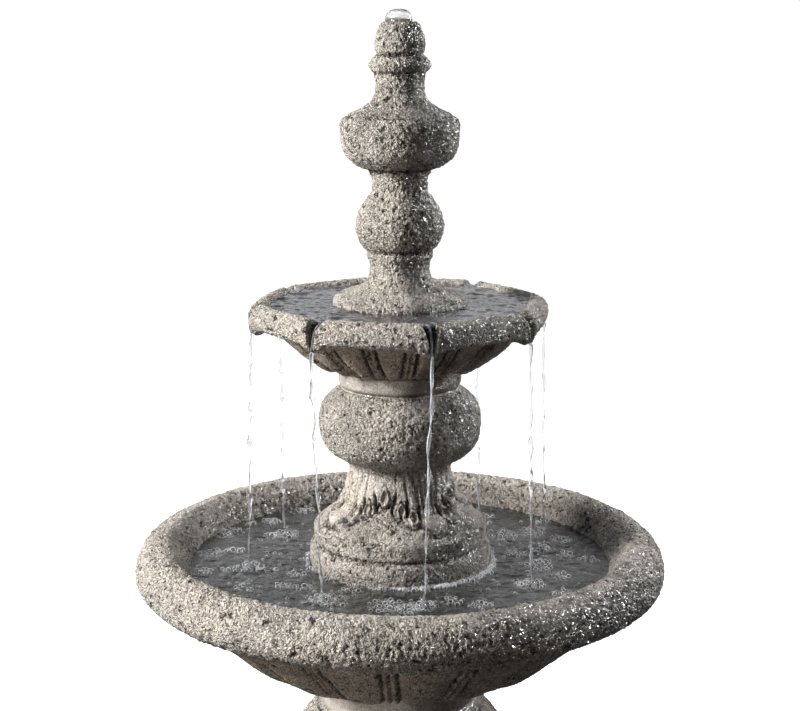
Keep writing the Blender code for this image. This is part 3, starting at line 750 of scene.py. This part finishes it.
def water_material(name, colour, painted_reflection, roughness, scale, film=0.6):
    m = Nodes(name)
    tc = m.coords()
    mp = m.add("ShaderNodeMapping")
    mp.inputs["Scale"].default_value = (0.78, 1.20, 1.0)
    m.link(tc, mp.inputs["Vector"])
    v = mp.outputs["Vector"]
    a = m.noise(scale, 4.0, 0.6, 1.6, v)
    b = m.noise(scale * 0.32, 3.0, 0.5, 1.0, v)
    # painted reflection: lighter streaks and darker patches mixed into the water's colour stand in for reflections
    # on the surface
    reflection_lines = m.span(a, 0.40, 0.68)
    col = m.mix(reflection_lines, colour, painted_reflection)
    col = m.mix(m.math("MULTIPLY", m.span(b, 0.35, 0.65), 0.75), col,
                tuple(c * 0.45 for c in colour))
    m.link(col, m.bsdf.inputs["Base Color"])
    m.bsdf.inputs["Roughness"].default_value = roughness
    m.bsdf.inputs["IOR"].default_value = 1.33
    m.bsdf.inputs["Specular IOR Level"].default_value = 0.8
    m.bsdf.inputs["Coat Weight"].default_value = film
    m.bsdf.inputs["Coat Roughness"].default_value = 0.03
    chop = m.noise(115.0, 3.0, 0.55, 1.2, v)
    wave = m.bump(a, 0.6, 0.0045)
    m.link(m.bump(chop, 0.8, 0.0032, wave), m.bsdf.inputs["Normal"])
    return m.mat


def clear_water(name, tint=0.86):
    m = Nodes(name)
    m.bsdf.inputs["Base Color"].default_value = (0.80, 0.815, 0.84, 1)
    m.bsdf.inputs["Roughness"].default_value = 0.03
    m.bsdf.inputs["IOR"].default_value = 1.36
    m.bsdf.inputs["Transmission Weight"].default_value = tint
    n = m.noise(260.0, 3.0, 0.6, 0.8)
    m.link(m.bump(n, 0.35, 0.0012), m.bsdf.inputs["Normal"])
    return m.mat


def foam_material(name):
    m = Nodes(name)
    lw = m.add("ShaderNodeLayerWeight")
    lw.inputs["Blend"].default_value = 0.45
    n = m.noise(500.0, 2.0)
    col = m.ramp(n, [(0.3, (0.80, 0.82, 0.86)), (0.7, (0.99, 0.99, 1.0))])
    m.link(col, m.bsdf.inputs["Base Color"])
    m.bsdf.inputs["Roughness"].default_value = 0.05
    alpha = m.span(lw.outputs["Facing"], 0.46, 0.80, 0.0, 1.0)
    # painted glow: the bubbles emit a little light so their rims read as bright highlights
    m.link(col, m.bsdf.inputs["Emission Color"])
    m.bsdf.inputs["Emission Strength"].default_value = 0.30
    m.link(alpha, m.bsdf.inputs["Alpha"])
    return m.mat


# the second colour of each pool is the painted reflection streak
pool_mat = water_material("pool_water", (0.022, 0.023, 0.022), (0.060, 0.062, 0.060), 0.04, 40.0, 0.25)
pool_high_mat = water_material("pool_water_upper", (0.045, 0.046, 0.053), (0.125, 0.125, 0.137), 0.04, 48.0)
clear_mat = clear_water("clear_water")
dome_mat = clear_water("dome_water", 0.93)
foam_mat = foam_material("foam")


def water_piece(ob, mat, body):
    ob.data.materials.append(mat)
    if body is not None:
        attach(ob, body)
    return ob


def ripple(P, rings, size=1.0):
    """Height of a disturbed pool, in mm, at points in mm."""
    x, y = P[..., 0], P[..., 1]
    warp = noise(np.stack([x / 60, y / 60, np.zeros_like(x)], -1)) * 26
    q = np.stack([x / 27 + warp / 36, y / 22 + warp / 27, np.full_like(x, 3.1)], -1)
    h = 0.70 * noise(q)
    q = np.stack([x / 12 + warp / 30, y / 10 - warp / 34, np.full_like(x, 9.7)], -1)
    h += 0.50 * noise(q)
    q = np.stack([x / 7, y / 6, np.full_like(x, 1.7)], -1)
    h += 0.22 * noise(q)
    for cx, cy, amp, reach in rings:
        d = np.hypot(x - cx, y - cy)
        h += amp * np.cos(d / 3.4) * np.exp(-d / reach)
    return h * size


def pool(name, r_in, r_out, z, rings, mat, body, cols, rows, size=1.0, shape=None,
         thick=5.0):
    """A closed sheet of water: rippled above, flat below."""
    n = int(cols * RES)
    phis = np.linspace(-math.pi, math.pi, n, endpoint=False)
    rr = np.linspace(r_out, r_in, int(rows * RES))
    R, PH = np.meshgrid(rr, phis, indexing="ij")
    if shape is not None:
        w = np.clip((R - 100) / 50, 0, 1)
        R = R * (1 + w * (shape(lip_angle(PH)) - 1))
    P = sphere_grid(R, np.full_like(R, z), PH)
    P[..., 2] += ripple(P, rings, size)
    lo = sphere_grid(R[[-1, 0]], np.full_like(R[[-1, 0]], z - thick), PH[[-1, 0]])
    return water_piece(grid_object(name, np.concatenate([P, lo])), mat, body)


def at(phi, r):
    return r * math.sin(phi), -r * math.cos(phi)


low_rings = [(*at(b2, r2), 1.7, 15.0) for _, r2, b2, _ in STREAMS]
low_rings += [(*at(b2, r2 - 34), 0.5, 20.0) for _, r2, b2, _ in STREAMS[::2]]
pool_low = pool("pool_lower", 9.0, 277.5, WATER_LOW, low_rings, pool_mat, "base", 760, 240, 1.7)
pool_high = pool("pool_upper", 9.0, 167.6, WATER_HIGH,
                 [(*at(LIP0 + SECTOR * k, 158), -0.8, 14.0) for k in range(8)],
                 pool_high_mat, "column", 560, 130, 2.1, shape=octagon)


def tube(name, centre, radius, squash, twist, sides, mat):
    """A closed rope of water along centre points (mm)."""
    c = np.array(centre, float)
    t = np.gradient(c, axis=0)
    t /= np.linalg.norm(t, axis=1)[:, None]
    ref = np.array([1.0, 0.0, 0.0])
    u = np.cross(t, ref)
    u /= np.linalg.norm(u, axis=1)[:, None]
    v = np.cross(t, u)
    a = np.linspace(0, 2 * math.pi, sides, endpoint=False)
    e1 = radius[:, None] * np.cos(a)[None]
    e2 = (radius * squash)[:, None] * np.sin(a)[None]
    ct, st = np.cos(twist)[:, None], np.sin(twist)[:, None]
    x, y = e1 * ct - e2 * st, e1 * st + e2 * ct
    P = c[:, None] + u[:, None] * x[..., None] + v[:, None] * y[..., None]
    ob = grid_object(name, P, wrap_rows=False, wrap_cols=True, caps=True)
    ob.data.materials.append(mat)
    return ob


for k, (b1, r2, b2, r1) in enumerate(STREAMS):
    rng = np.random.default_rng(100 + k)
    n = 150
    s = np.linspace(0, 1, n)
    z_top, z_low = 913.5, WATER_LOW - 1.0
    z = z_top + (z_low - z_top) * s
    fall = np.sqrt(s)
    r = r1 + 3.0 + (r2 - r1) * s + 1.5 * np.sin(s * 7.0 + k) * s
    ph = b1 + (b2 - b1) * s
    wob = np.interp(s, np.linspace(0, 1, 12), rng.normal(size=12)) * 1.3 * smoothstep(0, 0.2, s)
    x, y = r * np.sin(ph), -r * np.cos(ph)
    x = x + wob * np.cos(ph) * 1.2
    y = y + wob * np.sin(ph) * 1.2
    beads = np.zeros(n)
    for c0 in np.sort(rng.uniform(0.08, 0.97, 9)):
        beads += bump(s, c0, rng.uniform(0.008, 0.022)) * rng.uniform(0.4, 1.3)
    rad = (2.10 - 0.70 * s + 0.6 * np.sin(s * 44 + k) * smoothstep(0.05, 0.4, s)) + beads * 1.3
    rad *= 1.0 + 0.5 * np.exp(-s * 30) + 0.7 * np.exp(-(1 - s) * 60)
    ob = tube("stream_%d" % (k + 1), np.stack([x, y, z], 1), rad,
              0.55 + 0.25 * np.sin(s * 22 + k * 2), s * 24 + k, 10, clear_mat)
    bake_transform(ob)


def balls(name, places, mat, body, sides=10):
    """Many small bubbles or drops: (x, y, z, radius, flat) in mm."""
    places = np.array(places, float)
    rows, cols = sides // 2 + 1, sides
    th = np.linspace(0, math.pi, rows + 2)[1:-1]
    a = np.linspace(0, 2 * math.pi, cols, endpoint=False)
    unit = np.stack([np.sin(th)[:, None] * np.cos(a), np.sin(th)[:, None] * np.sin(a),
                     np.repeat(np.cos(th)[:, None], cols, 1)], -1).reshape(-1, 3)
    unit = np.vstack([unit, [[0, 0, 1]], [[0, 0, -1]]])
    faces = []
    for i in range(rows - 1):
        for j in range(cols):
            p, q = i * cols + j, i * cols + (j + 1) % cols
            faces.append((p, p + cols, q + cols, q))
    tops = [(rows * cols, j, (j + 1) % cols) for j in range(cols)]
    b0 = (rows - 1) * cols
    lows = [(rows * cols + 1, b0 + (j + 1) % cols, b0 + j) for j in range(cols)]
    n = len(places)
    V = places[:, None, :3] + unit[None] * places[:, 3, None, None] * np.stack(
        [np.ones(n), np.ones(n), places[:, 4]], 1)[:, None]
    per = len(unit)
    quads = (np.array(faces)[None] + np.arange(n)[:, None, None] * per).reshape(-1, 4)
    tris = (np.array(tops + lows)[None] + np.arange(n)[:, None, None] * per).reshape(-1, 3)
    me = bpy.data.meshes.new(name)
    me.vertices.add(n * per)
    me.vertices.foreach_set("co", (V.reshape(-1, 3) * MM).astype(np.float32).ravel())
    loops = np.concatenate([quads.ravel(), tris.ravel()])
    me.loops.add(len(loops))
    me.loops.foreach_set("vertex_index", loops.astype(np.int32))
    starts = np.concatenate([np.arange(len(quads)) * 4, len(quads) * 4 + np.arange(len(tris)) * 3])
    me.polygons.add(len(starts))
    me.polygons.foreach_set("loop_start", starts.astype(np.int32))
    me.update(calc_edges=True)
    me.shade_smooth()
    ob = bpy.data.objects.new(name, me)
    scene.collection.objects.link(ob)
    return water_piece(ob, mat, body)


def bubbles_near(rng, cx, cy, spread, count, big=4.7, z=WATER_LOW):
    """A raft of bubbles that don't cross each other much."""
    out = []
    tries = 0
    count = int(count * 1.25)
    while len(out) < count and tries < count * 14:
        tries += 1
        d = spread * math.sqrt(rng.uniform(0, 1))
        a = rng.uniform(0, 2 * math.pi)
        x, y = cx + 1.25 * d * math.cos(a), cy + 1.25 * d * math.sin(a)
        r = (1.0 + (big - 1.0) * rng.uniform(0, 1) ** 1.5) * (1 - 0.35 * d / spread)
        rad = math.hypot(x, y)
        if rad > 268 or rad < 121 + r:
            continue
        if all(math.hypot(x - o[0], y - o[1]) > 0.90 * (r + o[3]) for o in out):
            out.append((x, y, z + 0.8 + 0.25 * r, r, 0.75))
    return out


rng = np.random.default_rng(5)
raft = []
for _, r2, b2, _ in STREAMS:
    cx, cy = at(b2, r2)
    raft += bubbles_near(rng, cx, cy, 15, 34)
# rafts that have drifted off: x, y, spread, count
for cx, cy, spread, count in (
        (-176, 97, 10, 9), (-233, 120, 10, 12), (-220, 31, 11, 16), (-252, 19, 15, 26),
        (-194, -116, 11, 14), (-146, -112, 9, 12), (-122, -116, 9, 12), (-170, -47, 9, 10),
        (-83, -167, 18, 38), (-15, -183, 19, 44), (-138, 216, 12, 22), (-134, -67, 10, 12),
        (140, 97, 19, 44), (182, 110, 18, 36), (221, 79, 12, 20), (220, 14, 11, 16),
        (155, 19, 12, 18), (180, -27, 18, 38), (204, -70, 10, 14), (150, -97, 9, 11),
        (200, -135, 11, 14), (98, -181, 13, 20), (150, -188, 10, 14), (10, -196, 15, 28),
        (-246, 100, 12, 14), (-252, -55, 10, 12), (-209, 152, 9, 9), (-62, -134, 12, 14),
        (64, -167, 12, 16), (246, -6, 10, 11), (200, 165, 10, 12), (-219, -47, 9, 10),
        (-108, -153, 9, 10), (60, 205, 14, 22), (-40, 228, 14, 20), (120, 190, 12, 16),
        (-60, 170, 12, 16), (10, 165, 10, 14), (-180, 160, 12, 16)):
    raft += bubbles_near(rng, cx, cy, spread, count)
# single bubbles strewn over the rest
for _ in range(240):
    a, rr = rng.uniform(0, 2 * math.pi), rng.uniform(126, 262)
    x, y = at(a, rr)
    r = rng.uniform(0.8, 2.4)
    raft.append((x, y, WATER_LOW + 0.5 + 0.1 * r, r, 0.7))
foam = balls("bubbles", raft, foam_mat, "base")

ring = []
for _ in range(430):
    a = rng.uniform(0, 2 * math.pi)
    thick = 0.55 + 0.45 * math.sin(3 * a + 1.0) * math.sin(5 * a)
    d = abs(rng.normal()) * 3.2 * (0.5 + thick)
    r = rng.uniform(0.7, 2.3) * (1 if d < 5 else 0.7)
    x, y = at(a, 119.2 + r + d)
    ring.append((x, y, WATER_LOW + rng.uniform(0, 2.2) * math.exp(-d / 5), r, 0.85))
for _ in range(230):                   # thicker where the flow gathers it
    a = math.radians(rng.normal(44, 27))
    d = abs(rng.normal()) * 4.6
    r = rng.uniform(0.9, 3.3)
    x, y = at(a, 119.4 + r + d)
    ring.append((x, y, WATER_LOW + 0.6 + rng.uniform(0, 3.0) * math.exp(-d / 6), r, 0.85))
foam_ring = balls("foam_round_foot", ring, foam_mat, "base", sides=8)

drops = []
for _, r2, b2, _ in STREAMS:
    cx, cy = at(b2, r2)
    for _ in range(11):
        a, d = rng.uniform(0, 2 * math.pi), rng.uniform(2, 12)
        drops.append((cx + d * math.cos(a), cy + d * math.sin(a),
                      WATER_LOW + rng.uniform(2, 16) * (1 - d / 16), rng.uniform(0.5, 1.5), 1.2))
    drops.append((cx, cy, WATER_LOW + 1.0, 5.2, 0.9))
splashes = balls("splash_drops", drops, clear_mat, "base")

# the water welling out of the spout
n = 72
th = np.linspace(0.04, math.pi / 2 + 0.35, 22)
a = np.linspace(-math.pi, math.pi, n, endpoint=False)
T, A = np.meshgrid(th, a, indexing="ij")
lean = 1.0 + 0.05 * np.sin(A * 2 + 1) + 0.04 * np.sin(A * 3)
R = 17.6 * np.sin(T) ** 0.80 * lean
Z = 1300.6 + 15.0 * np.sign(np.cos(T)) * np.abs(np.cos(T)) ** 0.72
Z = np.where(T > math.pi / 2, 1300.6 - 2.0 * (T - math.pi / 2), Z)
R = np.where(T > math.pi / 2, R + 1.5 * (T - math.pi / 2), R)
P = sphere_grid(R, Z, A)
P[..., 0] += -1.5 + 0.05 * (Z - 1300)
dome = grid_object("spout_dome", P, wrap_rows=False, wrap_cols=True, caps=True)
water_piece(dome, dome_mat, "finial")

# tongues of water standing in the spill notches
for k in range(8):
    b = LIP0 + SECTOR * k
    path = np.array([(160, 945.6), (168, 945.4), (177, 943.0), (184, 938), (188, 930.5),
                     (190.2, 922), (191.6, 916), (192.2, 911.5)])
    path = catmull(path, 2.0)
    x, y = path[:, 0] * math.sin(b), -path[:, 0] * math.cos(b)
    rad = np.interp(np.linspace(0, 1, len(path)), [0, 0.3, 0.6, 1], [3.4, 3.4, 2.2, 2.0])
    ob = tube("notch_water_%d" % (k + 1), np.stack([x, y, path[:, 1]], 1), rad,
              np.full(len(path), 0.6), np.zeros(len(path)), 12, clear_mat)
    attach(ob, "column")

# -------------------------------------------------- plumbing keeps its CAD form


def plumbing(name, colour, roughness, metallic=0.0, speckle=0.2, scale=380.0,
             grime=0.35, bump=0.25, coat=0.0, transmission=0.0):
    """Moulded or metal finish: fine grain, lime scale and slight wear."""
    m = Nodes(name)
    fine = m.noise(scale, 3.0, 0.6)
    broad = m.noise(38.0, 4.0, 0.6, 0.5)
    dark = tuple(c * (1 - speckle) for c in colour)
    lite = tuple(min(1.0, c * (1 + speckle) + 0.01) for c in colour)
    base = m.ramp(fine, [(0.35, dark), (0.65, lite)])
    lime = m.span(broad, 0.52, 0.74, 0.0, grime)
    m.link(m.mix(lime, base, (0.42, 0.40, 0.36)), m.bsdf.inputs["Base Color"])
    rough = m.math("ADD", m.math("MULTIPLY", lime, 0.5), roughness, clamp=True)
    m.link(rough, m.bsdf.inputs["Roughness"])
    m.bsdf.inputs["Metallic"].default_value = metallic
    m.bsdf.inputs["Coat Weight"].default_value = coat
    if transmission:
        m.bsdf.inputs["Transmission Weight"].default_value = transmission
        m.bsdf.inputs["IOR"].default_value = 1.45
    m.link(m.bump(fine, bump, 0.0004), m.bsdf.inputs["Normal"])
    return m.mat


finishes = {
    "black_rubber": plumbing("rubber_black", (0.028, 0.028, 0.029), 0.72, speckle=0.35, scale=900, grime=0.22),
    "black_plastic": plumbing("plastic_black", (0.035, 0.036, 0.04), 0.42, speckle=0.25, scale=1200, grime=0.25),
    "grey_plastic": plumbing("plastic_grey", (0.2, 0.21, 0.22), 0.38, speckle=0.15, scale=1200, grime=0.3),
    "clear_tube": plumbing("tube_clear", (0.70, 0.76, 0.75), 0.18, speckle=0.06, scale=300, grime=0.3, transmission=0.55),
    "brass": plumbing("brass_dull", (0.115, 0.095, 0.07), 0.52, 0.75, speckle=0.35, scale=240, grime=0.6),
    "stainless": plumbing("steel_stainless", (0.58, 0.58, 0.59), 0.28, 1.0, speckle=0.1, scale=700, grime=0.2),
    "ceramic": plumbing("ceramic_white", (0.82, 0.82, 0.80), 0.2, speckle=0.04, scale=500, grime=0.1, coat=0.4),
    "ferrite": plumbing("ferrite_dark", (0.07, 0.07, 0.075), 0.55, 0.2, speckle=0.3, scale=800, grime=0.15),
}
replaced = {"base_pedestal", "lower_bowl", "column", "upper_bowl", "finial"}
slots = {s["node"]: s["material_slot"] for s in frame["record"]["subparts"]}
for node, ob in frame["nodes"].items():
    if node in replaced:
        continue
    mat = finishes[slots[node]]
    if len(ob.material_slots):
        for s in ob.material_slots:
            s.material = mat
    else:
        ob.data.materials.append(mat)

# ---------------------------------------------------------------- stage, light
floor_mesh = bpy.data.meshes.new("floor")
floor_mesh.from_pydata([(-60, -60, 0), (60, -60, 0), (60, 60, 0), (-60, 60, 0)], [], [(0, 1, 2, 3)])
floor = bpy.data.objects.new("floor", floor_mesh)
scene.collection.objects.link(floor)
floor.location = (0, 0, -0.0005)
fm = Nodes("floor_pale")
fm.bsdf.inputs["Base Color"].default_value = (0.86, 0.86, 0.86, 1)
fm.bsdf.inputs["Roughness"].default_value = 0.9
fm.bsdf.inputs["Specular IOR Level"].default_value = 0.0
fm.bsdf.inputs["Emission Color"].default_value = (1, 1, 1, 1)
away = fm.add("ShaderNodeVectorMath", operation="LENGTH")
fm.link(fm.coords(), away.inputs[0])
glow = fm.span(away.outputs["Value"], 0.35, 1.0, 0.62, 1.05)
under_foot = fm.span(away.outputs["Value"], 0.150, 0.165, 0.0, 1.0)
fm.link(fm.math("MULTIPLY", glow, under_foot), fm.bsdf.inputs["Emission Strength"])
floor_mesh.materials.append(fm.mat)
floor.visible_diffuse = False
floor.visible_glossy = False

world = bpy.data.worlds.new("world")
scene.world = world
world.use_nodes = True
wt = world.node_tree
bg = wt.nodes["Background"]
path_node = wt.nodes.new("ShaderNodeLightPath")
seen = wt.nodes.new("ShaderNodeMath")
seen.operation = "MAXIMUM"
wt.links.new(path_node.outputs["Is Camera Ray"], seen.inputs[0])
wt.links.new(path_node.outputs["Is Transmission Ray"], seen.inputs[1])
mixc = wt.nodes.new("ShaderNodeMix")
mixc.data_type = "RGBA"
ins = [s for s in mixc.inputs if s.type == "RGBA"]
wt.links.new(seen.outputs[0], mixc.inputs["Factor"])
ins[0].default_value = (0.075, 0.070, 0.066, 1)
ins[1].default_value = (1, 1, 1, 1)
wt.links.new([o for o in mixc.outputs if o.type == "RGBA"][0], bg.inputs["Color"])


def area(name, loc, target, size, size_y, power, colour=(1, 1, 1)):
    d = bpy.data.lights.new(name, "AREA")
    d.shape = "RECTANGLE"
    d.size, d.size_y = size, size_y
    d.energy = power
    d.color = colour
    o = bpy.data.objects.new(name, d)
    scene.collection.objects.link(o)
    o.location = loc
    o.visible_camera = False
    o.rotation_euler = (Vector(target) - Vector(loc)).to_track_quat("-Z", "Y").to_euler()
    return o


area("key", (-2.8, -0.72, 2.2), (0, 0, 0.88), 0.6, 1.0, 240, (1.0, 0.988, 0.968))
area("rim", (1.75, 1.45, 1.7), (0, 0, 0.9), 0.28, 1.7, 48, (1.0, 0.985, 0.97))
glint = area("glint", (2.4, 0.25, 1.75), (0, 0, 0.85), 0.34, 0.8, 180, (1.0, 0.99, 0.98))
glint.visible_diffuse = False
glint.visible_transmission = False
sheen = area("back_panel", (0.2, 3.4, 1.9), (0, 0, 0.95), 4.2, 1.2, 12.5, (0.93, 0.95, 1.0))
sheen.visible_diffuse = False
area("back_rim", (-1.2, 2.6, 1.8), (0, 0, 0.95), 0.8, 1.4, 6, (0.95, 0.96, 1.0))
area("top", (-0.4, 0.3, 3.2), (0, 0, 0.9), 1.4, 1.2, 5, (0.95, 0.95, 1.0))
area("low_fill", (-0.8, -2.8, 1.0), (0, 0, 0.7), 1.6, 0.8, 4.5, (1.0, 0.97, 0.94))
area("bounce", (-1.1, -1.2, 0.06), (0, 0, 0.75), 1.6, 1.6, 7, (1.0, 0.97, 0.94))

scene.view_settings.view_transform = "Standard"
